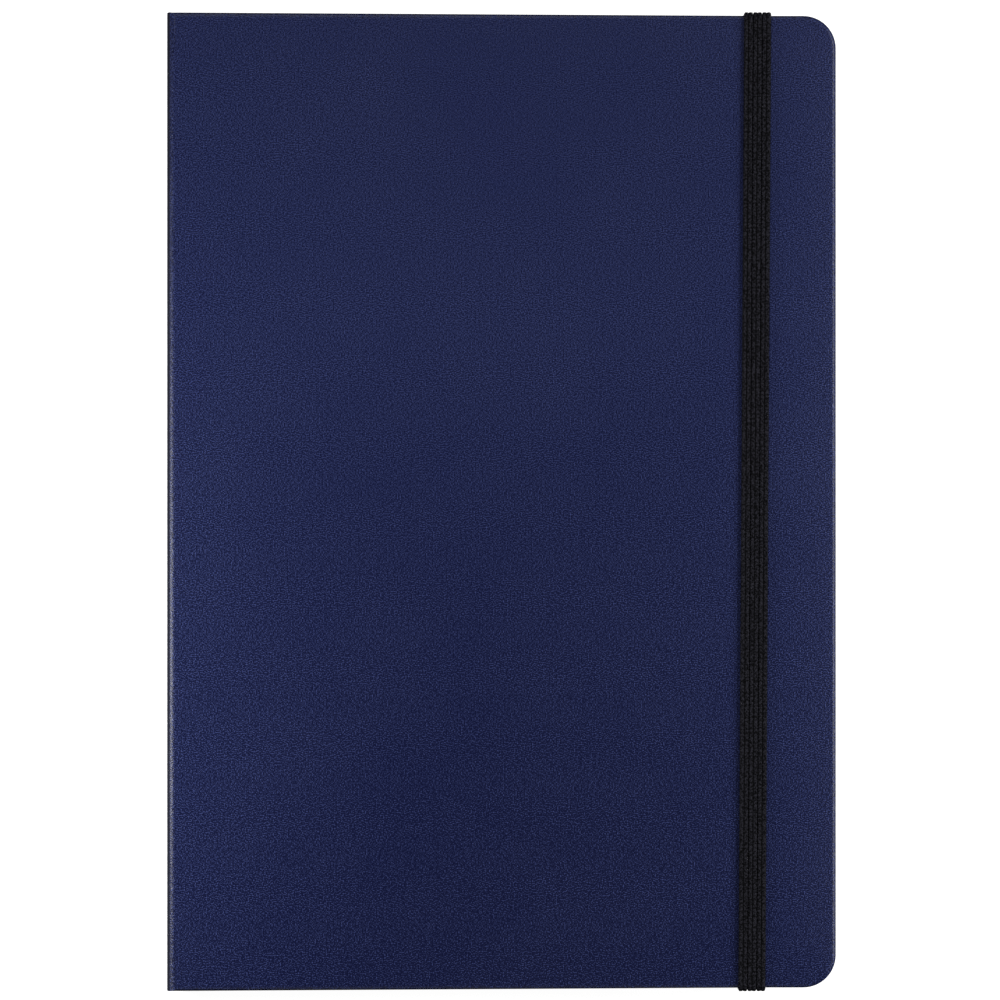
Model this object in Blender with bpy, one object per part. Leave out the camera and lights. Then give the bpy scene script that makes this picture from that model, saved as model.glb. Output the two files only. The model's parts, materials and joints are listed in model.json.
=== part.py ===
"""Hardcover pilot logbook, sewn in sections and cased in, with an elastic closure band.

Frame: +X from the spine to the fore-edge, +Y to the head of the pages, +Z up through the
thickness, front cover on top. The origin is under the middle of the closed book.
Everything is in metres.
"""
import math

import bmesh
import bpy
from mathutils import Matrix, Vector

# Case
COVER_WIDTH = 0.148  # spine's outer face to fore-edge
COVER_HEIGHT = 0.215  # head to tail
CORNER_RADIUS = 0.0072  # fore-edge corners, seen from above
SPINE_EDGE_RADIUS = 0.002  # where the cover turns down into the spine
RIM_RADIUS = 0.0009  # head, tail and fore-edge of a cover
BOARD = 0.0017
SKIN = 0.0003  # leatherette
TURN_IN = 0.015  # leatherette folded over onto the board's inner side
GLUE = 0.0001  # a glued layer's gap

# Paper
ENDPAPER = 0.0002
SECTION = 0.00089  # one sewn section, sixteen pages
SECTIONS = 12
FRONT_SECTIONS = 1  # sections that turn with the front pages
LEAF_GAP = 0.0001
SQUARE_END = 0.0025  # cover past the pages at head and tail
SQUARE_FORE = 0.003  # cover past the pages at the fore-edge
PAGE_CORNER_RADIUS = 0.006
FOLD_RADIUS = 0.0003
PASTEDOWN_INSET = 0.004  # pastedown's edge in from the cover's edge

# Spine, from outside to inside
SPINE_CARD = 0.0006
SPINE_LINING = 0.0001
MULL = 0.00015
THREAD = 0.0003
STATIONS = 5  # sewing stations along the fold
STATION_INSET = 0.015  # first and last station in from the pages' ends
MULL_INSET = 0.012
HEADBAND_RADIUS = 0.0007

# Elastic closure band
ELASTIC = 0.0007
ELASTIC_WIDTH = 0.006
ELASTIC_FROM_SPINE = 0.13005
ELASTIC_LEAN = 0.006  # how far its head end leans to the fore-edge, per metre of its length
ELASTIC_BEND = 0.0012  # outer radius where it turns over an edge
SLOT_INSET = 0.0115  # the back cover's slots in from head and tail
ANCHOR_TAIL = 0.0115  # glued end, inward of its slot
ELASTIC_CLEARANCE = 0.0001
ANCHOR_UPSTAND = 0.00005  # straight part of the fixed end, above its bend at the cover's edge

HINGE_CLEARANCE = 0.00005  # hinge axes outside the spine's outer face
SPLIT = 0.0001  # gap between two pieces that part at a hinge

# Worked-out sizes
COVER = SKIN + GLUE + BOARD + GLUE + SKIN + GLUE + ENDPAPER
FIRST_SECTION_Z = COVER + LEAF_GAP + ENDPAPER + LEAF_GAP
PITCH = SECTION + LEAF_GAP
CASE = 2 * FIRST_SECTION_Z + SECTIONS * PITCH - LEAF_GAP
SPINE_X = -COVER_WIDTH / 2
FORE_X = COVER_WIDTH / 2
END_Y = COVER_HEIGHT / 2
CARD_X = SPINE_X + SKIN + GLUE
LINING_X = CARD_X + SPINE_CARD + GLUE
MULL_X = LINING_X + SPINE_LINING + GLUE
THREAD_X = MULL_X + MULL + GLUE / 2
FOLD_X = THREAD_X + THREAD + GLUE / 2
PAGE_X = FORE_X - SQUARE_FORE
PAGE_Y = END_Y - SQUARE_END
HINGE_X = SPINE_X - HINGE_CLEARANCE
PAGES_HINGE_Z = FIRST_SECTION_Z + (SECTIONS - FRONT_SECTIONS) * PITCH - LEAF_GAP / 2
BACK_HINGE_Z = CASE - PAGES_HINGE_Z
BLOCK_TOP_Z = PAGES_HINGE_Z - LEAF_GAP / 2
ELASTIC_X = SPINE_X + ELASTIC_FROM_SPINE
CORNER_STEPS = 8


def clear_scene():
    for thing in list(bpy.data.objects):
        bpy.data.objects.remove(thing, do_unlink=True)


def new_collection(name):
    made = bpy.data.collections.new(name)
    bpy.context.scene.collection.children.link(made)
    return made


def material(name, colour, roughness, metallic=0.0):
    made = bpy.data.materials.new(name)
    made.use_nodes = True
    shader = made.node_tree.nodes["Principled BSDF"]
    shader.inputs["Base Color"].default_value = (*colour, 1.0)
    shader.inputs["Roughness"].default_value = roughness
    shader.inputs["Metallic"].default_value = metallic
    return made


clear_scene()
BOOK = new_collection("pilot_logbook")
CUTTERS = new_collection("cutters")
LEATHERETTE = material("leatherette", (0.017, 0.022, 0.067), 0.5)
GREYBOARD = material("greyboard", (0.32, 0.29, 0.25), 0.9)
ENDPAPER_STOCK = material("endpaper", (0.74, 0.71, 0.62), 0.85)
PAGE_STOCK = material("page_paper", (0.83, 0.8, 0.7), 0.85)
COTTON = material("cotton", (0.78, 0.76, 0.7), 0.9)
KNIT = material("elastic", (0.009, 0.009, 0.012), 0.75)


def at_axis(name, x, z):
    """An empty on a joint's axis, for the pieces that turn about it."""
    empty = bpy.data.objects.new(name, None)
    empty.location = (x, 0.0, z)
    BOOK.objects.link(empty)
    return empty


def finish(mesh_maker, name, stock, parent=None, collection=BOOK):
    """Puts a bmesh, which is in the book's frame, into a named object under its parent."""
    mesh = bpy.data.meshes.new(name)
    mesh_maker.to_mesh(mesh)
    mesh_maker.free()
    thing = bpy.data.objects.new(name, mesh)
    collection.objects.link(thing)
    if stock:
        mesh.materials.append(stock)
    if parent:
        mesh.transform(Matrix.Translation(-parent.location))
        thing.parent = parent
    return thing


def box(low, high):
    """A bmesh box between two corners."""
    low, high = Vector(low), Vector(high)
    size, middle = high - low, (low + high) / 2
    made = bmesh.new()
    bmesh.ops.create_cube(made, size=1.0)
    bmesh.ops.scale(made, vec=size, verts=made.verts)
    bmesh.ops.translate(made, vec=middle, verts=made.verts)
    return made


def round_edges(made, chosen, radius, steps):
    edges = [e for e in made.edges if chosen((e.verts[0].co + e.verts[1].co) / 2,
                                             (e.verts[1].co - e.verts[0].co).normalized())]
    bmesh.ops.bevel(made, geom=edges, offset=radius, segments=steps, profile=0.5,
                    affect="EDGES", clamp_overlap=False)
    return made


def slab(low, high, corner):
    """A box with its two fore-edge corners rounded, as a cover or a page is."""
    made = box(low, high)
    return round_edges(made, lambda at, way: abs(way.z) > 0.9 and at.x > high[0] - 1e-6,
                       corner, CORNER_STEPS)


def round_outside(made, top, rim, spine_edge, spine_x):
    """Rounds a cover's outer face, which is at z = top: its spine edge and then its rim."""
    flat = 1e-6
    round_edges(made, lambda at, way: abs(at.z - top) < flat and at.x < spine_x + flat
                and abs(way.y) > 0.9, spine_edge, 5)
    round_edges(made, lambda at, way: abs(at.z - top) < flat and at.x > spine_x + spine_edge
                + flat and not (abs(way.y) > 0.9 and at.x < spine_x + spine_edge + 1e-4),
                rim, 3)
    return made


def cut(thing, name, cutter):
    """Takes a cutter's volume out of a piece, with a Boolean that stays on it."""
    tool = finish(cutter, name, None, None, CUTTERS)
    tool.hide_render = True
    tool.display_type = "WIRE"
    step = thing.modifiers.new(name, "BOOLEAN")
    step.operation = "DIFFERENCE"
    step.solver = "EXACT"
    step.object = tool
    return tool


def turned_over(made):
    """Turns a back cover's shape into the front cover's: half a turn about the book's X axis."""
    bmesh.ops.rotate(made, cent=(0, 0, 0), verts=made.verts, matrix=Matrix.Rotation(math.pi, 3, "X"))
    bmesh.ops.translate(made, vec=(0, 0, CASE), verts=made.verts)
    return made


def placed(made, is_front):
    return turned_over(made) if is_front else made


def mirrored_depth(made):
    """A shape drawn with its outer face up at z = 0 and its depth downward, turned outer face down."""
    bmesh.ops.rotate(made, cent=(0, 0, 0), verts=made.verts, matrix=Matrix.Rotation(math.pi, 3, "X"))
    return made


def board(name, is_front, parent):
    """Greyboard, drawn inside the leatherette with a glue line all round."""
    inset = SKIN + GLUE
    made = slab((SPINE_X + inset, -END_Y + inset, -inset - BOARD),
                (FORE_X - inset, END_Y - inset, -inset), CORNER_RADIUS - inset)
    round_outside(made, -inset, RIM_RADIUS - inset, SPINE_EDGE_RADIUS - inset, SPINE_X + inset)
    return finish(placed(mirrored_depth(made), is_front), name, GREYBOARD, parent)


def skin(name, is_front, parent):
    """Leatherette over a board: outer face, edges, turn-ins, and the strip down the spine."""
    hinge_depth = BACK_HINGE_Z - SPLIT / 2
    inner = SKIN + GLUE + BOARD + GLUE + SKIN
    made = slab((SPINE_X, -END_Y, -hinge_depth), (FORE_X, END_Y, 0), CORNER_RADIUS)
    round_outside(made, 0, RIM_RADIUS, SPINE_EDGE_RADIUS, SPINE_X)
    thing = finish(placed(mirrored_depth(made), is_front), name, LEATHERETTE, parent)
    room = slab((SPINE_X + SKIN, -END_Y + SKIN, -SKIN - GLUE - BOARD - GLUE),
                (FORE_X - SKIN, END_Y - SKIN, -SKIN), CORNER_RADIUS - SKIN)
    round_outside(room, -SKIN, RIM_RADIUS - SKIN, SPINE_EDGE_RADIUS - SKIN, SPINE_X + SKIN)
    cut(thing, f"{name}_board_room", placed(mirrored_depth(room), is_front))
    past = 0.002
    window = slab((SPINE_X + SKIN, -END_Y + TURN_IN, -inner - past),
                  (FORE_X - TURN_IN, END_Y - TURN_IN, -SKIN - GLUE - BOARD), GLUE)
    cut(thing, f"{name}_window", placed(mirrored_depth(window), is_front))
    inside = box((SPINE_X + SKIN, -END_Y - past, -hinge_depth - past),
                 (FORE_X + past, END_Y + past, -inner))
    cut(thing, f"{name}_inside", placed(mirrored_depth(inside), is_front))
    return thing


def pastedown(name, is_front, parent):
    low_depth = COVER - ENDPAPER
    made = slab((FOLD_X, -END_Y + PASTEDOWN_INSET, low_depth),
                (FORE_X - PASTEDOWN_INSET, END_Y - PASTEDOWN_INSET, COVER),
                CORNER_RADIUS - PASTEDOWN_INSET)
    return finish(placed(made, is_front), name, ENDPAPER_STOCK, parent)


def leaf(name, z, parent):
    made = slab((FOLD_X, -PAGE_Y, z), (PAGE_X, PAGE_Y, z + ENDPAPER), PAGE_CORNER_RADIUS)
    return finish(made, name, ENDPAPER_STOCK, parent)


def section(index, parent):
    """One folded section: its spine fold is rounded, its fore-edge corners are cut round."""
    z = FIRST_SECTION_Z + index * PITCH
    made = slab((FOLD_X, -PAGE_Y, z), (PAGE_X, PAGE_Y, z + SECTION), PAGE_CORNER_RADIUS)
    round_edges(made, lambda at, way: abs(way.y) > 0.9 and at.x < FOLD_X + 1e-6, FOLD_RADIUS, 2)
    return finish(made, f"section_{index + 1:02d}", PAGE_STOCK, parent)


def spine_pieces(parent):
    """What holds the folds together, from the skin inward."""
    low, high = BACK_HINGE_Z + SPLIT / 2, PAGES_HINGE_Z - SPLIT / 2
    made = box((SPINE_X, -END_Y, low), (CARD_X + SPINE_CARD, END_Y, high))
    cover = finish(made, "spine_skin", LEATHERETTE, parent)
    past = 0.002
    cut(cover, "spine_skin_room", box((SPINE_X + SKIN, -END_Y + SKIN, low - past),
                                      (FOLD_X, END_Y - SKIN, high + past)))
    inset = SKIN + GLUE
    finish(box((CARD_X, -END_Y + inset, low + GLUE), (CARD_X + SPINE_CARD, END_Y - inset, high - GLUE)),
           "spine_card", GREYBOARD, parent)
    finish(box((LINING_X, -PAGE_Y, low), (LINING_X + SPINE_LINING, PAGE_Y, high)),
           "spine_lining", PAGE_STOCK, parent)
    finish(box((MULL_X, -PAGE_Y + MULL_INSET, low), (MULL_X + MULL, PAGE_Y - MULL_INSET, high)),
           "spine_mull", COTTON, parent)


def rod(name, points, radius, stock, parent):
    """A thread or a cord: a curve with a round bevel and closed ends."""
    curve = bpy.data.curves.new(name, "CURVE")
    curve.dimensions = "3D"
    curve.bevel_depth = radius
    curve.bevel_resolution = 2
    curve.use_fill_caps = True
    spline = curve.splines.new("POLY")
    spline.points.add(len(points) - 1)
    for point, place in zip(spline.points, points):
        point.co = (*(Vector(place) - parent.location), 1.0)
    curve.materials.append(stock)
    thing = bpy.data.objects.new(name, curve)
    BOOK.objects.link(thing)
    thing.parent = parent
    return thing


def sewing(parent):
    """The linking stitches that climb the folds, one run at each station."""
    reach = 2 * (PAGE_Y - STATION_INSET)
    for index in range(STATIONS):
        y = PAGE_Y - STATION_INSET - reach * index / (STATIONS - 1)
        x = THREAD_X + THREAD / 2
        rod(f"sewing_thread_{index + 1}", [(x, y, FIRST_SECTION_Z), (x, y, BLOCK_TOP_Z)],
            THREAD / 2, COTTON, parent)


def headbands(parent):
    """Worked bands at the head and tail of the folds, glued on after sewing."""
    for name, side in (("headband", 1), ("tailband", -1)):
        y = side * (PAGE_Y + GLUE + HEADBAND_RADIUS)
        x = FOLD_X + HEADBAND_RADIUS
        rod(name, [(x, y, FIRST_SECTION_Z), (x, y, CASE - FIRST_SECTION_Z)],
            HEADBAND_RADIUS, COTTON, parent)


def ribbon_outline(path, bends, thickness):
    """The closed edge-on outline of a flat band whose middle line turns at each path point."""
    middle = [Vector(path[0])]
    for before, at, after, radius in zip(path, path[1:], path[2:], bends):
        before, at, after = Vector(before), Vector(at), Vector(after)
        way_in, way_out = (at - before).normalized(), (after - at).normalized()
        centre = at - way_in * radius + way_out * radius
        steps = 5
        for step in range(steps + 1):
            turn = step / steps * math.pi / 2
            middle.append(centre - way_out * radius * math.cos(turn) + way_in * radius * math.sin(turn))
    middle.append(Vector(path[-1]))
    left, right = [], []
    for index, at in enumerate(middle):
        ahead = middle[min(index + 1, len(middle) - 1)] - middle[max(index - 1, 0)]
        if index == 0:
            ahead = middle[1] - middle[0]
        aside = Vector((-ahead.y, ahead.x)).normalized() * thickness / 2
        left.append(at + aside)
        right.append(at - aside)
    return left + right[::-1]


def ribbon_shape(path, bends, thickness, width):
    """An elastic's edge-on outline, given as (y, z), extruded across its width."""
    curve = bpy.data.curves.new("edge_on", "CURVE")
    curve.dimensions = "2D"
    curve.fill_mode = "BOTH"
    curve.extrude = width / 2
    outline = ribbon_outline(path, bends, thickness)
    spline = curve.splines.new("POLY")
    spline.points.add(len(outline) - 1)
    for point, place in zip(spline.points, outline):
        point.co = (place.x, place.y, 0.0, 1.0)
    spline.use_cyclic_u = True
    drawn = bpy.data.objects.new("edge_on", curve)
    CUTTERS.objects.link(drawn)
    made = bmesh.new()
    seen = drawn.evaluated_get(bpy.context.evaluated_depsgraph_get())
    flat = bpy.data.meshes.new_from_object(seen)
    made.from_mesh(flat)
    bpy.data.meshes.remove(flat)
    bpy.data.objects.remove(drawn)
    bmesh.ops.remove_doubles(made, verts=made.verts, dist=1e-6)
    for vert in made.verts:
        across, along, up = vert.co.z, vert.co.x, vert.co.y
        vert.co = (ELASTIC_X + across + ELASTIC_LEAN * along, along, up)
    bmesh.ops.recalc_face_normals(made, faces=made.faces)
    if made.calc_volume(signed=True) < 0:
        bmesh.ops.reverse_faces(made, faces=made.faces)
    return made


def elastic(band_axis, back_axis, back_skin, back_board):
    """The band round the closed book, and its two ends let into the back cover."""
    half = ELASTIC / 2
    y = END_Y + ELASTIC_CLEARANCE + half
    top = CASE + ELASTIC_CLEARANCE + half
    under = half + HINGE_CLEARANCE
    inside = SKIN + GLUE + BOARD - GLUE - half
    tight = min(half + 2 * GLUE, 0.49 * (inside - under))
    upstand = under + tight + ANCHOR_UPSTAND
    leg = upstand + SPLIT
    bend = ELASTIC_BEND - half
    around = [(-y, leg), (-y, top), (y, top), (y, leg)]
    finish(ribbon_shape(around, [bend, bend], ELASTIC, ELASTIC_WIDTH), "elastic_band", KNIT, band_axis)
    slot = END_Y - SLOT_INSET
    past = 0.002
    for name, side in (("elastic_anchor_head", 1), ("elastic_anchor_tail", -1)):
        inward = [(side * slot, under), (side * slot, inside), (side * (slot - ANCHOR_TAIL), inside)]
        path = [(side * y, upstand), (side * y, under), *inward]
        finish(ribbon_shape(path, [tight] * 3, ELASTIC, ELASTIC_WIDTH), name, KNIT, back_axis)
        inward[-1] = (side * (slot - ANCHOR_TAIL - GLUE), inside)
        for piece in (back_skin, back_board):
            room = ribbon_shape([(side * (END_Y + past), under), *inward], [tight] * 2,
                                ELASTIC + 2 * GLUE, ELASTIC_WIDTH + 6 * GLUE)
            cut(piece, f"{name}_room_in_{piece.name}", room)
    for side in (1, -1):
        x = ELASTIC_X + ELASTIC_LEAN * side * slot
        aside = ELASTIC_WIDTH / 2 + 3 * GLUE
        low, high = sorted((side * (slot - ANCHOR_TAIL), side * (slot - tight)))
        bed = box((x - aside, low, inside), (x + aside, high, COVER))
        cut(back_board, f"anchor_bed_{'head' if side > 0 else 'tail'}", bed)


def build():
    text_block = at_axis("text_block", HINGE_X, 0.0)
    front_pages = at_axis("front_pages_hinge", HINGE_X, PAGES_HINGE_Z)
    front_cover = at_axis("front_cover_hinge", HINGE_X, PAGES_HINGE_Z)
    back_cover = at_axis("back_cover_hinge", HINGE_X, BACK_HINGE_Z)
    band = at_axis("closure_band_slide", ELASTIC_X, CASE)

    for index in range(SECTIONS):
        section(index, front_pages if index >= SECTIONS - FRONT_SECTIONS else text_block)
    leaf("back_flyleaf", COVER + LEAF_GAP, text_block)
    leaf("front_flyleaf", CASE - COVER - LEAF_GAP - ENDPAPER, front_pages)
    spine_pieces(text_block)
    sewing(text_block)
    headbands(text_block)

    board("front_board", True, front_cover)
    skin("front_cover_skin", True, front_cover)
    pastedown("front_pastedown", True, front_cover)
    back_board = board("back_board", False, back_cover)
    back_skin = skin("back_cover_skin", False, back_cover)
    pastedown("back_pastedown", False, back_cover)
    elastic(band, back_cover, back_skin, back_board)


build()
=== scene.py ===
"""Pilot logbook: a sewn hardcover book in navy leatherette with a black elastic closure band."""
import json
import math
import random

import bmesh
import bpy
from mathutils import Matrix, Vector


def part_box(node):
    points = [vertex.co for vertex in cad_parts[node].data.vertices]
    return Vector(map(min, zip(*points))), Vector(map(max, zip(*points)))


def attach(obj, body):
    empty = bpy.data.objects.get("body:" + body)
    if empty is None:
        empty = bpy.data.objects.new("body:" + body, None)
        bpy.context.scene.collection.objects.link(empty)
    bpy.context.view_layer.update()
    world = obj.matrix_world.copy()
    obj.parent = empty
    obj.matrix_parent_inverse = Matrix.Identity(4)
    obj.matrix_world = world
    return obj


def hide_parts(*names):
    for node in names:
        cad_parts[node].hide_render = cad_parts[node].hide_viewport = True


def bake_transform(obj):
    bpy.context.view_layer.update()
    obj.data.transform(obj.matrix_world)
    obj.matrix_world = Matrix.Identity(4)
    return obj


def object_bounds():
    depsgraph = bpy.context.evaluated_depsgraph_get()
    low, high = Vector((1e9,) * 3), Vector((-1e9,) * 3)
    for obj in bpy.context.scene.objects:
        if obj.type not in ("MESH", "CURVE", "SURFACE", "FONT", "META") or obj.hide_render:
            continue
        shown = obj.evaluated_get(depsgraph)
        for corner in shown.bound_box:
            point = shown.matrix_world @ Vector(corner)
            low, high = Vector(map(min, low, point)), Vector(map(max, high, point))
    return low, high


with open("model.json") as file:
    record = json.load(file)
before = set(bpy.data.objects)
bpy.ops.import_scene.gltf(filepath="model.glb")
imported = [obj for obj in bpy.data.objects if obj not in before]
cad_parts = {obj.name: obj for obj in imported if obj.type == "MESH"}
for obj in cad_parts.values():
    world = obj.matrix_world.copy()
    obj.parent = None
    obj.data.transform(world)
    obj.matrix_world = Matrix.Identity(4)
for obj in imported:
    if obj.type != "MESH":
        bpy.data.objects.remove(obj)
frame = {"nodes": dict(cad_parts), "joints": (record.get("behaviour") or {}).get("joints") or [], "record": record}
cad_low, cad_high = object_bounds()


# The stage: a white table that glows, three large soft lights at the fore-edge, head and tail, and
# two small ones close to the spine and the fore-edge. The camera looks straight down.
FRAME_WIDTH = 0.2211  # what the picture's side spans at the front cover
CAMERA_HEIGHT = 2.0
SENSOR = 0.036
SKY_STRENGTH = 0.14
TABLE_SIZE = 6.0
TABLE_DROP = 0.00002  # keeps the table's face clear of the book's underside
TABLE_GLOW = 0.92

stage = bpy.context.scene
stage.view_settings.view_transform = "Standard"
stage.world = bpy.data.worlds.new("studio")
stage.world.use_nodes = True
sky = stage.world.node_tree.nodes["Background"].inputs
sky["Color"].default_value = (1.0, 1.0, 1.0, 1.0)
sky["Strength"].default_value = SKY_STRENGTH

bpy.ops.mesh.primitive_plane_add(size=TABLE_SIZE, location=(0, 0, cad_low.z - TABLE_DROP))
table = bpy.context.object
table.name = "table"
table_paint = bpy.data.materials.new("table_paint")
table_paint.use_nodes = True
coat = table_paint.node_tree.nodes["Principled BSDF"].inputs
coat["Base Color"].default_value = (0.3, 0.3, 0.3, 1)
coat["Roughness"].default_value = 0.9
coat["Emission Color"].default_value = (1, 1, 1, 1)
coat["Emission Strength"].default_value = TABLE_GLOW
table.data.materials.append(table_paint)
table.visible_diffuse = table.visible_glossy = False


def soft_light(name, place, aim, size, size_y, watts):
    """A rectangular lamp at a place, turned toward what it is aimed at."""
    lamp = bpy.data.lights.new(name, "AREA")
    lamp.shape = "RECTANGLE"
    lamp.size, lamp.size_y, lamp.energy = size, size_y, watts
    thing = bpy.data.objects.new(name, lamp)
    thing.location = place
    thing.rotation_euler = (Vector(aim) - Vector(place)).to_track_quat("-Z", "Y").to_euler()
    bpy.context.collection.objects.link(thing)


soft_light("fore_edge_light", (1.25, 0.25, 0.95), (0, 0, 0), 0.45, 0.45, 25.0)
soft_light("head_light", (-0.25, 1.3, 1.0), (0, 0, 0), 0.8, 0.6, 10.0)
soft_light("tail_light", (-0.2, -1.4, 1.0), (0, 0, 0), 0.8, 0.6, 5.0)
soft_light("spine_light", (-0.25, -0.035, 0.10), (-0.074, -0.035, 0.018), 0.03, 0.09, 0.92)
soft_light("rim_light", (0.40, -0.07, 0.155), (0.074, -0.05, 0.018), 0.04, 0.06, 1.0)

lens = bpy.data.cameras.new("camera")
lens.sensor_width = SENSOR * 1000
lens.lens = SENSOR * CAMERA_HEIGHT / FRAME_WIDTH * 1000
camera = bpy.data.objects.new("camera", lens)
camera.location = (-0.0003, 0.00038, cad_high.z + CAMERA_HEIGHT)
bpy.context.collection.objects.link(camera)
stage.camera = camera


# The leatherette: coated cloth, embossed with a pebble grain and dyed navy. One sheet covers the
# front board, the spine and the back board. It is glued down and turned in over the edges.
GRAIN = 0.00074  # across one pebble
GRAIN_DEPTH = 0.00008
SHEET = 0.0003
TURN_IN = 0.015
CORNER = 0.0072
SPINE_ROUND = 0.002
RIM_ROUND = 0.0009
INNER_ROUND = 0.0004
PASTE_GAP = 0.0001  # the turn-ins end this far above the pastedown's face
PAST_ROUND = 1e-4  # tells the rim's edges from those of the round at the spine
# The grain's dark and light tones are partly the leatherette's own two-tone colour and partly painted light and
# shade on the pebbles: the dark tone for shaded hollows, the light tone for lit pebble tops.
NAVY_DEEP = (0.0002, 0.0013, 0.0175)
NAVY_PALE_LIT = (0.0290, 0.0400, 0.124)
# painted shade: the colour of the dark band painted on the rims of the covers and the spine, where the edge turns
# away from the light
NAVY_RIM_SHADE = (0.0012, 0.0018, 0.008)


class Wire:
    """A shader socket that takes part in arithmetic as a number does."""

    def __init__(self, tree, socket):
        self.tree, self.socket = tree, socket

    def sum(self, operation, *others, clamp=False):
        step = self.tree.nodes.new("ShaderNodeMath")
        step.operation = operation
        step.use_clamp = clamp
        for slot, value in zip(step.inputs, others):
            if isinstance(value, Wire):
                self.tree.links.new(value.socket, slot)
            else:
                slot.default_value = value
        return Wire(self.tree, step.outputs[0])

    def __add__(self, other):
        return self.sum("ADD", self, other)

    def __sub__(self, other):
        return self.sum("SUBTRACT", self, other)

    def __rsub__(self, other):
        return self.sum("SUBTRACT", other, self)

    def __mul__(self, other):
        return self.sum("MULTIPLY", self, other)

    def __truediv__(self, other):
        return self.sum("DIVIDE", self, other)

    def __lt__(self, other):
        return self.sum("LESS_THAN", self, other)

    def __abs__(self):
        return self.sum("ABSOLUTE", self)

    def sine(self):
        return self.sum("SINE", self)

    def wrapped(self, period):
        """Goes from 0 to period over and over."""
        return self.sum("FLOORED_MODULO", self, period)

    def held(self):
        """Kept between 0 and 1."""
        return self.sum("ADD", self, 0.0, clamp=True)

    __radd__ = __add__


class Finish:
    """A material on a Principled shader, with the nodes that vary it."""

    def __init__(self, name, **constants):
        self.material = bpy.data.materials.new(name)
        self.material.use_nodes = True
        self.tree = self.material.node_tree
        self.shader = self.tree.nodes["Principled BSDF"]
        for socket, value in constants.items():
            self.shader.inputs[socket.replace("_", " ").title().replace("Ior", "IOR")].default_value = value

    def node(self, kind, settings, sockets, out=0):
        """Any node: its settings first, then a value or a wire for each named or numbered socket."""
        made = self.tree.nodes.new(kind)
        for key, value in settings.items():
            setattr(made, key, value)
        for key, value in sockets.items():
            if isinstance(value, Wire):
                self.tree.links.new(value.socket, made.inputs[key])
            else:
                made.inputs[key].default_value = value
        return Wire(self.tree, made.outputs[out])

    def place(self):
        return self.node("ShaderNodeTexCoord", {}, {}, "Object")

    def along(self, axis):
        return self.node("ShaderNodeSeparateXYZ", {}, {"Vector": self.place()}, axis)

    def noise(self, scale, detail=2.0, where=None):
        return self.node("ShaderNodeTexNoise", {}, {"Vector": where or self.place(), "Scale": scale,
                                                     "Detail": detail}, "Fac")

    def stretched(self, x, y, z):
        return self.node("ShaderNodeMapping", {}, {"Vector": self.place(), "Scale": (x, y, z)})

    def mix(self, share, first, second):
        colours = {key: (*value, 1.0) if isinstance(value, tuple) else value
                   for key, value in ((6, first), (7, second))}
        return self.node("ShaderNodeMix", {"data_type": "RGBA"}, {0: share, **colours}, 2)

    def drive(self, socket, wire):
        self.tree.links.new(wire.socket, self.shader.inputs[socket])

    def relief(self, height, depth, strength):
        self.drive("Normal", self.node("ShaderNodeBump", {}, {"Height": height, "Distance": depth,
                                                                "Strength": strength}, "Normal"))


def new_piece(kind, name, **how):
    """A primitive at its size and place, with everything else deselected first."""
    if bpy.context.object and bpy.context.object.mode != "OBJECT":
        bpy.ops.object.mode_set(mode="OBJECT")
    bpy.ops.object.select_all(action="DESELECT")
    getattr(bpy.ops.mesh, f"primitive_{kind}_add")(**how)
    thing = bpy.context.object
    thing.name = name
    bpy.ops.object.transform_apply(location=True, rotation=True, scale=True)
    bpy.ops.object.mode_set(mode="EDIT")
    bpy.ops.mesh.select_all(action="DESELECT")
    return thing


def block(name, low, high):
    """A cube between two corners, left in edit mode."""
    low, high = Vector(low), Vector(high)
    return new_piece("cube", name, size=1.0, location=(low + high) / 2, scale=high - low)


def pick(thing, kind, test):
    """Selects the faces or edges whose middle and direction pass the test, and nothing else."""
    bpy.ops.mesh.select_all(action="DESELECT")
    bpy.ops.mesh.select_mode(type="FACE" if kind == "faces" else "EDGE")
    shape = bmesh.from_edit_mesh(thing.data)
    if kind == "faces":
        for face in shape.faces:
            face.select_set(bool(test(face.calc_center_median(), face.normal)))
    else:
        for edge in shape.edges:
            first, last = edge.verts[0].co, edge.verts[1].co
            edge.select_set(bool(test((first + last) / 2, (last - first).normalized())))
    bmesh.update_edit_mesh(thing.data)


def bevel(offset, segments):
    bpy.ops.mesh.bevel(offset=offset, segments=segments, profile=0.5, affect="EDGES", clamp_overlap=False)


def close(thing, finish, angle=40.0):
    """Leaves edit mode, gives the piece its finish and smooths it up to an angle."""
    bpy.ops.object.mode_set(mode="OBJECT")
    thing.data.materials.clear()
    thing.data.materials.append(finish)
    bpy.ops.object.select_all(action="DESELECT")
    thing.select_set(True)
    bpy.context.view_layer.objects.active = thing
    bpy.ops.object.shade_smooth_by_angle(angle=math.radians(angle))


def thicken(thing, thickness):
    """Solidify toward the inside, applied."""
    bpy.ops.object.mode_set(mode="OBJECT")
    wall = thing.modifiers.new("wall", "SOLIDIFY")
    wall.thickness, wall.offset, wall.use_even_offset = thickness, -1.0, True
    bpy.ops.object.modifier_apply(modifier="wall")


def near(value, target, slack=2e-5):
    return abs(value - target) < slack


skin_low, skin_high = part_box("front_cover_skin")
case_top = skin_high.z
spine_x, fore_x, end_y = skin_low.x, skin_high.x, skin_high.y
front_joint = next(j for j in frame["joints"] if j["name"] == "open_front_cover")
back_joint = next(j for j in frame["joints"] if j["name"] == "open_back_cover")
front_hinge_z, back_hinge_z = front_joint["pos_m"][2], back_joint["pos_m"][2]
turn_in_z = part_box("front_pastedown")[1].z + PASTE_GAP
head_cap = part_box("spine_skin")[1].x  # how far the spine's turned-in ends reach inward


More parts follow.
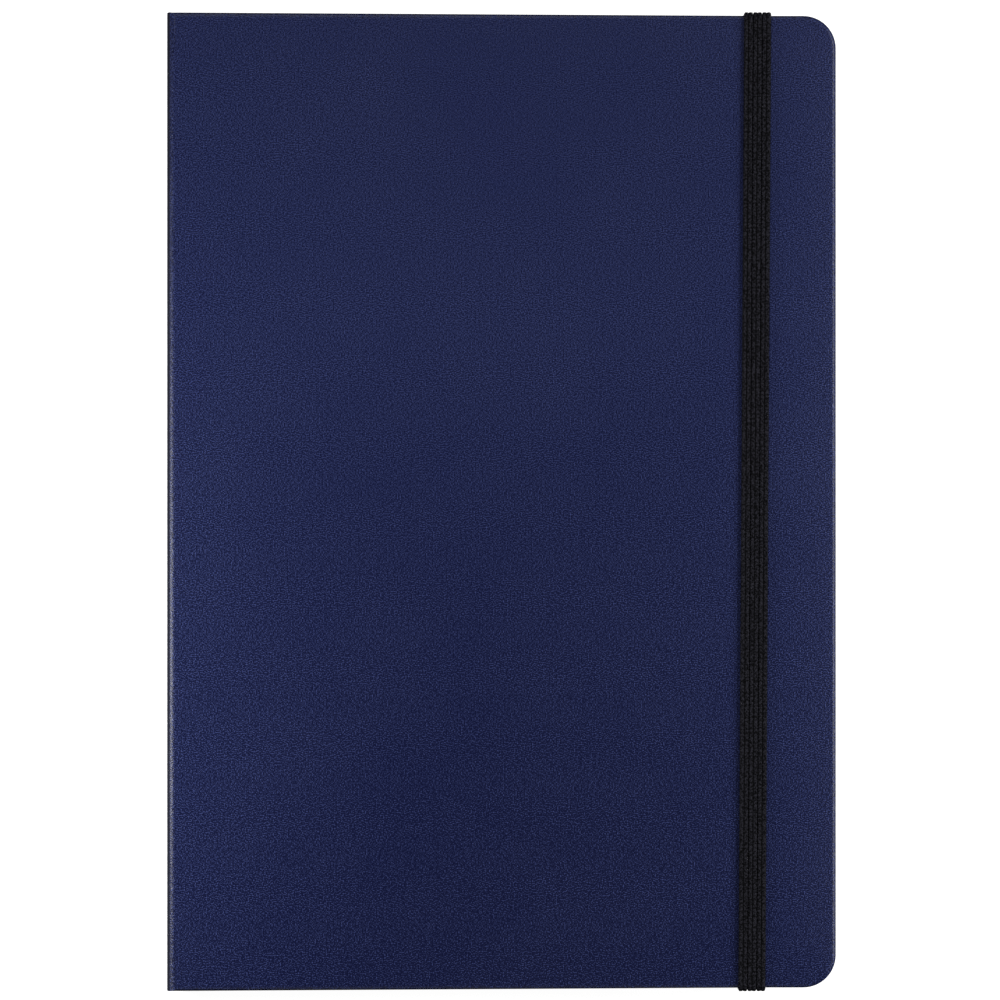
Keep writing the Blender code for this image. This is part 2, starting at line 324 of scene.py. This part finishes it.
def leatherette():
    """Navy pebbles with painted light: higher-contrast, lighter grain painted toward the tail and the sides,
    painted shade over the lower middle, and painted shade on the rims.
    """
    made = Finish("leatherette", specular_ior_level=0.17)
    x, y, z = (made.along(axis) for axis in range(3))
    pebble = made.noise(1.0, 0.5, made.stretched(2.4 / GRAIN, 3.3 / GRAIN, 2.4 / GRAIN))
    patches = made.noise(30.0, 3.0)
    aside = x * x
    # painted light: the grain's colour contrast grows toward the tail and the sides, standing in for grazing
    # light, with some random patches
    grazing_contrast = (0.42 - y * 4.2 + aside * 70 + (patches - 0.5) * 0.7).held()
    # painted shade: the colour is darker toward the tail, most of all in the middle, less toward the sides
    low_middle_shade = ((0.04 - y) * 1.9).held() * (1 - aside * 75)
    # painted shade on the rims: the mask is dark in a band 0.7 to 1.7 mm in from the top or bottom face, and the
    # roughness rises there
    depth = z.sum("MINIMUM", z, case_top - z)
    rim_shade = made.node("ShaderNodeMapRange", {"interpolation_type": "SMOOTHSTEP"},
                       {"Value": abs(depth - 0.0012), "From Min": 0.0005, "From Max": 0.0008}, 0)
    made.relief(pebble, GRAIN_DEPTH, 1.0)
    shade = 0.225 - low_middle_shade + (pebble - 0.5) * (1.1 + grazing_contrast * 2.5)
    dye = made.mix(shade.held(), NAVY_DEEP, NAVY_PALE_LIT)
    made.drive("Base Color", made.mix(rim_shade, NAVY_RIM_SHADE, dye))
    made.drive("Roughness", 0.34 + patches * 0.12 + (1 - rim_shade) * 0.4)
    return made.material


LEATHERETTE = leatherette()


def cover_leather(name):
    """The leatherette of one cover, as the front cover lies: top, edges, turn-ins, half the joint."""
    thing = block(name, (spine_x, -end_y, turn_in_z), (fore_x, end_y, case_top))
    pick(thing, "edges", lambda at, way: abs(way.z) > 0.9 and at.x > 0)
    bevel(CORNER, 14)
    pick(thing, "edges", lambda at, way: near(at.z, case_top) and near(at.x, spine_x))
    bevel(SPINE_ROUND, 7)
    pick(thing, "edges", lambda at, way: near(at.z, case_top) and at.x > spine_x + SPINE_ROUND + PAST_ROUND)
    bevel(RIM_ROUND, 4)
    for plane, normal in (((head_cap, 0, 0), (1, 0, 0)), ((fore_x - TURN_IN, 0, 0), (1, 0, 0)),
                          ((0, end_y - TURN_IN, 0), (0, 1, 0)), ((0, TURN_IN - end_y, 0), (0, 1, 0))):
        bpy.ops.mesh.select_all(action="SELECT")
        bpy.ops.mesh.bisect(plane_co=plane, plane_no=normal)
    pick(thing, "faces", lambda at, normal: near(at.z, turn_in_z) and (at.x < head_cap or (
        abs(at.y) < end_y - TURN_IN and at.x < fore_x - TURN_IN)))
    bpy.ops.mesh.delete(type="FACE")
    pick(thing, "edges", lambda at, way: near(at.z, turn_in_z) and at.x > head_cap and (
        near(abs(at.y), end_y) or near(at.x, fore_x) or on_corner(at)))
    bevel(INNER_ROUND, 2)
    pick(thing, "edges", lambda at, way: near(at.z, turn_in_z) and (
        near(at.x, spine_x) or (at.x < head_cap and near(abs(at.y), end_y))))
    bpy.ops.mesh.extrude_edges_move(TRANSFORM_OT_translate={"value": (0, 0, front_hinge_z - turn_in_z)})
    thicken(thing, SHEET)
    return thing


def on_corner(at):
    """True on the arc of a fore-edge corner."""
    aside = Vector((at.x - (fore_x - CORNER), abs(at.y) - (end_y - CORNER)))
    return aside.x > 0 and aside.y > 0 and aside.length > CORNER - 0.0002


def turned_over(thing):
    """Half a turn about the book's X axis, which takes a front cover's shape to the back cover."""
    thing.data.transform(Matrix.Translation((0, 0, case_top)) @ Matrix.Rotation(math.pi, 4, "X"))


def carve(thing, low, high):
    """Cuts a box-shaped place into a piece."""
    tool = block("carver", low, high)
    bpy.ops.object.mode_set(mode="OBJECT")
    cut = thing.modifiers.new("cut", "BOOLEAN")
    cut.operation, cut.object = "DIFFERENCE", tool
    bpy.ops.object.select_all(action="DESELECT")
    thing.select_set(True)
    bpy.context.view_layer.objects.active = thing
    bpy.ops.object.modifier_apply(modifier="cut")
    bpy.data.objects.remove(tool)


EAR = 0.0008  # how far the folded-in leather swells past the ends of the spine
EAR_MIDDLE = 0.0006  # in from the spine's outer face
EAR_WIDTH = 0.0014
EAR_LENGTH = 0.004  # how far down the spine the swelling reaches
SLOT_END = 0.0119  # the band's slots in the back cover, in from the head and the tail
SLOT_PLAY = 0.0001
SLOT_DEPTH = 0.00078
PAST_EDGE = 0.002  # how far the cutter stands out beyond the cover
PAST_FACE = 0.001


def swell(thing):
    """Draws the ends of the spine outward, most of all just inside its outer face."""
    for corner in thing.data.vertices:
        reach = math.exp(-((corner.co.x - spine_x - EAR_MIDDLE) / EAR_WIDTH) ** 2)
        share = max(0.0, (abs(corner.co.y) - end_y + EAR_LENGTH) / EAR_LENGTH)
        corner.co.y += math.copysign(EAR * reach * share, corner.co.y)


front_leather = cover_leather("front_cover_leather")
close(front_leather, LEATHERETTE)
swell(front_leather)
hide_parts("front_cover_skin")
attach(front_leather, "front_cover")

back_leather = cover_leather("back_cover_leather")
turned_over(back_leather)
for anchor in ("elastic_anchor_head", "elastic_anchor_tail"):
    low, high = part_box(anchor)
    outer = 1 if high.y > 0 else -1
    slot_from, slot_to = sorted((outer * (end_y - SLOT_END), outer * (end_y + PAST_EDGE)))
    carve(back_leather, (low.x - SLOT_PLAY, slot_from, -PAST_FACE),
          (high.x + SLOT_PLAY, slot_to, SLOT_DEPTH))
close(back_leather, LEATHERETTE)
swell(back_leather)
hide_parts("back_cover_skin")
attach(back_leather, "back_cover")

spine_leather = block("spine_leather", (spine_x, -end_y, back_hinge_z), (head_cap, end_y, front_hinge_z))
pick(spine_leather, "faces", lambda at, normal: near(at.x, head_cap) or abs(normal.z) > 0.9)
bpy.ops.mesh.delete(type="FACE")
thicken(spine_leather, SHEET)
close(spine_leather, LEATHERETTE)
swell(spine_leather)
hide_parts("spine_skin")
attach(spine_leather, "text_block")


# The boards and the spine's card: grey binder's board, pressed from waste paper, cut square and
# hidden under the leatherette. The CAD solids stay, with a fibrous grey surface.
def greyboard():
    made = Finish("greyboard", roughness=0.92, specular_ior_level=0.2)
    flecks = made.noise(900.0, 4.0)
    made.drive("Base Color", made.mix(flecks.held(), (0.2, 0.18, 0.155), (0.42, 0.39, 0.34)))
    made.relief(flecks, 0.0001, 0.5)
    return made.material


GREYBOARD = greyboard()


def dress(names, finish):
    """Gives CAD nodes that keep their shape a better surface."""
    for name in names:
        node = frame["nodes"][name]
        node.data.materials.clear()
        node.data.materials.append(finish)


dress(["front_board", "back_board", "spine_card"], GREYBOARD)


# The leaves: twelve sections of eight leaves in cream writing paper. Each leaf is its own thin
# sheet with round corners at the fore-edge, knocked up by hand, so that no two lie quite flush.
LEAVES = 8
LEAF = 0.0001
PAGE_CORNER = 0.006
SLIP = 0.00016  # how far a leaf may stand in or out at the fore-edge
LINE_PITCH = 0.0065
LINE_WIDTH = 0.00022
BOX_LINES = (0.010, 0.032, 0.050, 0.066, 0.080, 0.094, 0.108, 0.122, 0.136)  # from the fold
RULED_HALF_WIDTH = 0.0635
RULED_HALF_HEIGHT = 0.094
RULED_DROP = 0.004
RULE_INK = (0.22, 0.3, 0.38)


def paper(name, warm, ruled):
    """Fibrous paper, with stacked leaves on its cut edges and, where ruled, a printed log form."""
    made = Finish(name, specular_ior_level=0.25)
    x, y, z = (made.along(axis) for axis in range(3))
    fibre = made.noise(1400.0, 4.0)
    cloud = made.noise(35.0, 3.0)
    leaf_lines = made.noise(1.0, 4.0, made.stretched(30.0, 30.0, 6500.0))
    groups = made.noise(1.0, 2.0, made.stretched(8.0, 8.0, 900.0))
    up = abs(made.node("ShaderNodeSeparateXYZ", {}, {
        "Vector": made.node("ShaderNodeTexCoord", {}, {}, "Normal")}, 2))
    is_face = up.sum("GREATER_THAN", up, 0.7)
    face = made.mix((cloud * 0.5 + fibre * 0.5).held(), tuple(c * 0.93 for c in warm), warm)
    edge_tone = (leaf_lines * 1.5 - 0.4 + groups * 0.35).held()
    edge = made.mix(edge_tone, tuple(c * 0.62 for c in warm), tuple(min(c * 1.02, 1) for c in warm))
    if ruled:
        rows = abs((y + LINE_PITCH * 40).wrapped(LINE_PITCH) - LINE_PITCH / 2) < LINE_WIDTH / 2
        columns = None
        for at in BOX_LINES:
            line = abs(x - (page_low.x + at)) < LINE_WIDTH * 0.6
            columns = line if columns is None else columns + line
        inside = ((abs(x - (page_low.x + page_high.x) / 2) < RULED_HALF_WIDTH)
                  * (abs(y + RULED_DROP) < RULED_HALF_HEIGHT))
        printed = ((rows + columns).held() * inside).held() * 0.75
        face = made.mix(printed, face, RULE_INK)
    made.drive("Base Color", made.mix(is_face, edge, face))
    made.drive("Roughness", 0.82 + fibre * 0.1)
    made.relief((fibre * 0.4 * is_face) + leaf_lines * (1 - is_face), 0.00006, 0.6)
    return made.material


page_low, page_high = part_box("section_01")
PAGE = paper("page_paper", (0.80, 0.755, 0.63), True)

pattern = block("leaf_pattern", (page_low.x, page_low.y, 0), (page_high.x, page_high.y, LEAF))
pick(pattern, "edges", lambda at, way: abs(way.z) > 0.9 and at.x > 0)
bevel(PAGE_CORNER, 9)
bpy.ops.object.mode_set(mode="OBJECT")
jog = random.Random(11)


def folded_section(name, body):
    """Eight leaves, stacked with the small slips that jogging the pages leaves."""
    low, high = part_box(name)
    step = (high.z - low.z - LEAF) / (LEAVES - 1)
    stack = bmesh.new()
    middle = (LEAVES - 1) / 2
    creep = [SLIP * (1 - abs(index - middle) / middle) for index in range(LEAVES)]
    for index in range(LEAVES):
        before = len(stack.verts)
        stack.from_mesh(pattern.data)
        stack.verts.ensure_lookup_table()
        aside = (jog.uniform(-SLIP, SLIP) * 0.5 - creep[index] * 0.3,
                 jog.uniform(-SLIP, SLIP) * 0.6, low.z + index * step)
        bmesh.ops.translate(stack, vec=aside, verts=stack.verts[before:])
    mesh = bpy.data.meshes.new(name)
    stack.to_mesh(mesh)
    stack.free()
    mesh.materials.append(PAGE)
    thing = bpy.data.objects.new(f"{name}_leaves", mesh)
    bpy.context.collection.objects.link(thing)
    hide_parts(name)
    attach(thing, body)


for body, nodes in frame["record"]["behaviour"]["bodies"].items():
    for node in nodes:
        if node.startswith("section_"):
            folded_section(node, body)
bpy.data.objects.remove(pattern)


# The endpapers: a heavier ivory sheet at each end, half of it pasted to the board and half loose.
# The fold between the halves is a thin strip of its own, which stays with the loose half.
ENDPAPER = paper("endpaper", (0.70, 0.665, 0.57), False)
dress(["front_pastedown", "back_pastedown", "front_flyleaf", "back_flyleaf"], ENDPAPER)
FOLD_DEPTH = 0.0009
FOLD_LAP = 0.003
FOLD_PAPER = 0.0000125
FOLD_CLEAR = 0.22  # the part of the gap that stays free on each side of the strip
FOLD_STEPS = 20
FOLD_COLUMNS = 6


def wrapped_grid(name, across, along, place):
    """A grid whose every crossing, by its column and row, is moved to the place it has on the piece."""
    thing = new_piece("grid", name, x_subdivisions=across, y_subdivisions=along, size=1.0)
    bpy.ops.object.mode_set(mode="OBJECT")
    for index, corner in enumerate(thing.data.vertices):
        corner.co = place(index % (across + 1), index // (across + 1))
    return thing


def endpaper_fold(name, flyleaf, pastedown, leaf_body, leaf_is_low):
    """The strip round the fold, from on the flyleaf to on the pastedown, in the gap between them."""
    fold_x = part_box(flyleaf)[0].x
    leaf_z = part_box(flyleaf)[1].z if leaf_is_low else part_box(flyleaf)[0].z
    paste_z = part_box(pastedown)[0].z if leaf_is_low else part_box(pastedown)[1].z
    half_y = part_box(pastedown)[1].y
    near_z = leaf_z + (paste_z - leaf_z) * FOLD_CLEAR
    far_z = leaf_z + (paste_z - leaf_z) * (1 - FOLD_CLEAR)

    def place(column, row):
        y = -half_y + 2 * half_y * column / FOLD_COLUMNS
        if row in (0, FOLD_STEPS + 2):
            return (fold_x + FOLD_LAP, y, near_z if row == 0 else far_z)
        turn = (row - 1) / FOLD_STEPS * math.pi
        z = (near_z + far_z) / 2 - (far_z - near_z) / 2 * math.cos(turn)
        return (fold_x - FOLD_DEPTH * math.sin(turn), y, z)

    thing = wrapped_grid(name, FOLD_COLUMNS, FOLD_STEPS + 2, place)
    thicken(thing, FOLD_PAPER)
    close(thing, ENDPAPER)
    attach(thing, leaf_body)


endpaper_fold("front_endpaper_fold", "front_flyleaf", "front_pastedown", "front_pages", True)
endpaper_fold("back_endpaper_fold", "back_flyleaf", "back_pastedown", "text_block", False)


# The spine's inside: open cotton mull glued across the folds, a strip of lining paper over it,
# and waxed linen thread that links section to section. The CAD solids stay.
WEAVE = 7000.0  # radians to the metre
TWIST = 9000.0


def mull():
    made = Finish("mull", roughness=0.95, specular_ior_level=0.1)
    y, z = made.along(1), made.along(2)
    weave = (y * WEAVE).sine() * 0.25 + (z * WEAVE).sine() * 0.25 + 0.5
    made.drive("Base Color", made.mix(weave.held(), (0.5, 0.48, 0.42), (0.82, 0.8, 0.74)))
    made.relief(weave, 0.0001, 0.8)
    return made.material


def thread():
    made = Finish("thread", roughness=0.7, specular_ior_level=0.3)
    twist = (made.along(2) * TWIST + made.along(1) * TWIST).sine() * 0.5 + 0.5
    made.drive("Base Color", made.mix(twist, (0.6, 0.57, 0.5), (0.85, 0.83, 0.77)))
    made.relief(twist, 0.00005, 0.8)
    return made.material


dress(["spine_mull"], mull())
dress(["spine_lining"], ENDPAPER)
dress([f"sewing_thread_{index}" for index in range(1, 6)], thread())


# The head and tail bands: a cord wound with white and navy cotton, glued across the ends of the
# folds. Every wind stands up as its own small ring.
WIND = 0.00045
WIND_SIDES = 14
WIND_ROWS = 5


def worked_band():
    made = Finish("worked_band", roughness=0.75, specular_ior_level=0.3)
    at = made.along(2)
    stripe = at.wrapped(4 * WIND) < 2 * WIND
    strands = made.noise(1.0, 3.0, made.stretched(900.0, 900.0, 6000.0))
    made.drive("Base Color", made.mix(stripe, made.mix(strands, (0.012, 0.016, 0.05), (0.03, 0.035, 0.1)),
                                      made.mix(strands, (0.55, 0.54, 0.5), (0.8, 0.79, 0.75))))
    made.relief(strands, 0.00005, 0.5)
    return made.material


BAND_THREADS = worked_band()


def wound_band(node):
    """A cord along the ends of the folds that swells at each wind and closes at both ends."""
    low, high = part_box(node)
    middle, radius = (low + high) / 2, (high.x - low.x) / 2
    rows = round((high.z - low.z) / WIND) * WIND_ROWS

    def place(column, row):
        turn = 2 * math.pi * column / WIND_SIDES
        swell = radius * (0.86 + 0.14 * abs(math.sin(math.pi * row / WIND_ROWS)))
        if row in (0, rows):
            swell *= 0.02
        height = low.z + (high.z - low.z) * min(max((row - 1) / (rows - 2), 0), 1)
        return (middle.x + swell * math.cos(turn), middle.y + swell * math.sin(turn), height)

    thing = wrapped_grid(f"{node}_winds", WIND_SIDES, rows, place)
    bpy.ops.object.mode_set(mode="EDIT")
    bpy.ops.mesh.select_all(action="SELECT")
    bpy.ops.mesh.remove_doubles(threshold=0.00003)
    bpy.ops.mesh.normals_make_consistent(inside=False)
    close(thing, BAND_THREADS, 70.0)
    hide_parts(node)
    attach(thing, "text_block")


wound_band("headband")
wound_band("tailband")


# The closure band: black knitted elastic, 6 mm wide, with six ribs where the rubber cores run. It
# goes round the front of the book, in through two slots in the back cover, and is glued inside.
RIBS = 6
PER_RIB = 6
RIB_HEIGHT = 0.00012
DEEP_GROOVE = 0.00026
SIDE_ROUND = 0.00022
KNIT = 0.00088
STRAP_WIDTH = 0.006
STRAP_HALF = 0.00035  # half its thickness
LEAN = 0.006  # metres aside for each metre toward the head
STRAP_SLOT = 0.0115
TIGHT_BEND, LOOSE_BEND = 0.00055, 0.00085
BEND_STEPS = 6
STRAP_STEP = 0.0012


def knitted():
    """Ribs of knitted loops, with painted shade in the grooves, darkest where two ribs part at each third."""
    made = Finish("elastic", specular_ior_level=0.05)
    x, y, z = (made.along(axis) for axis in range(3))
    across = (x - strap_x - y * LEAN) / (STRAP_WIDTH / RIBS) + RIBS
    along = y + z
    chevron = abs(across.wrapped(1.0) - 0.5)
    third = abs(across.wrapped(2.0) - 1.0)
    loops = ((along / KNIT + chevron * 1.6) * (2 * math.pi)).sine() * 0.5 + 0.5
    strands = ((across * (2 * math.pi * 3)).sine() * 0.5 + 0.5) * 0.4
    fuzz = made.noise(2600.0, 1.0)
    # painted shade in the grooves between the ribs
    groove_shade = (chevron * 2.0).sum("POWER", chevron * 2.0, 4.0)
    # painted shade: a dark line where two ribs part at each third
    line = third.sum("GREATER_THAN", third, 0.86)
    made.relief(loops * 0.6 + strands + fuzz * 0.5, 0.00007, 0.9)
    shade = (0.3 + loops * 0.24 + (fuzz - 0.5) * 3.2 - groove_shade * 0.34 - line * 0.5).held()
    made.drive("Base Color", made.mix(shade, (0.0001, 0.0001, 0.0005), (0.0128, 0.0126, 0.0172)))
    made.drive("Roughness", 0.7 + fuzz * 0.2)
    return made.material


band_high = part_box("elastic_band")[1]
head_low, head_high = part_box("elastic_anchor_head")
tail_low, tail_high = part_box("elastic_anchor_tail")
strap_x = (head_low.x + head_high.x + tail_low.x + tail_high.x) / 4


def rounded_path(corners, radius, step):
    """Points and outward normals along a path of straight runs with round corners."""
    found = []
    for index, at in enumerate(corners):
        at = Vector(at)
        if index in (0, len(corners) - 1):
            toward = Vector(corners[1]) - at if index == 0 else at - Vector(corners[-2])
            found.append((at, toward.normalized()))
            continue
        way_in = (at - Vector(corners[index - 1])).normalized()
        way_out = (Vector(corners[index + 1]) - at).normalized()
        centre = at - way_in * radius[index] + way_out * radius[index]
        for turn in range(BEND_STEPS + 1):
            angle = turn / BEND_STEPS * math.pi / 2
            spot = (centre - way_out * radius[index] * math.cos(angle)
                    + way_in * radius[index] * math.sin(angle))
            found.append((spot, way_in * math.cos(angle) + way_out * math.sin(angle)))
    spaced = [found[0]]
    for (start, start_way), (end, end_way) in zip(found, found[1:]):
        pieces = max(1, math.ceil((end - start).length / step))
        for part in range(1, pieces + 1):
            share = part / pieces
            spaced.append((start.lerp(end, share), start_way.lerp(end_way, share).normalized()))
    return spaced


strap_y = band_high.y - STRAP_HALF
strap_top = band_high.z - STRAP_HALF
strap_under = head_low.z + STRAP_HALF
strap_slot = end_y - STRAP_SLOT
strap_inside = head_high.z - STRAP_HALF
strap_end = head_low.y
corners = [(strap_end, strap_inside), (strap_slot, strap_inside), (strap_slot, strap_under),
           (strap_y, strap_under), (strap_y, strap_top)]
corners += [(-y, z) for y, z in reversed(corners)]
bends = [0, TIGHT_BEND, TIGHT_BEND, TIGHT_BEND, LOOSE_BEND]
path = rounded_path(corners, bends + bends[::-1], STRAP_STEP)


ACROSS = RIBS * PER_RIB


def set_back(column):
    """How far the outer face stands back at a column: between ribs, and most at each third."""
    rib, within = divmod(column, PER_RIB)
    depth = RIB_HEIGHT * abs(2 * within / PER_RIB - 1) ** 2.2
    if within == 0 and rib in (2, 4):
        depth += DEEP_GROOVE
    if column in (0, ACROSS):
        depth = 2 * SIDE_ROUND
    return depth


def strap_place(column, row):
    """Columns go over the ribbed outer face and back under the flat inner face."""
    (y, z), (way_y, way_z) = path[row]
    outer = column <= ACROSS
    across = STRAP_WIDTH * ((column if outer else 2 * ACROSS + 1 - column) / ACROSS - 0.5)
    out = STRAP_HALF - set_back(column) if outer else -STRAP_HALF
    return (strap_x + across + LEAN * y, y + way_z * out, z - way_y * out)


strap = wrapped_grid("closure_strap", 2 * ACROSS + 2, len(path) - 1,
                     lambda column, row: strap_place(column % (2 * ACROSS + 2), row))
bpy.ops.object.mode_set(mode="EDIT")
bpy.ops.mesh.select_all(action="SELECT")
bpy.ops.mesh.remove_doubles(threshold=0.000002)
bpy.ops.mesh.select_all(action="DESELECT")
bpy.ops.mesh.select_mode(type="EDGE")
bpy.ops.mesh.select_non_manifold()
bpy.ops.mesh.edge_face_add()
bpy.ops.mesh.select_all(action="SELECT")
bpy.ops.mesh.normals_make_consistent(inside=False)
close(strap, knitted(), 60.0)
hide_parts("elastic_band", "elastic_anchor_head", "elastic_anchor_tail")
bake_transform(strap)
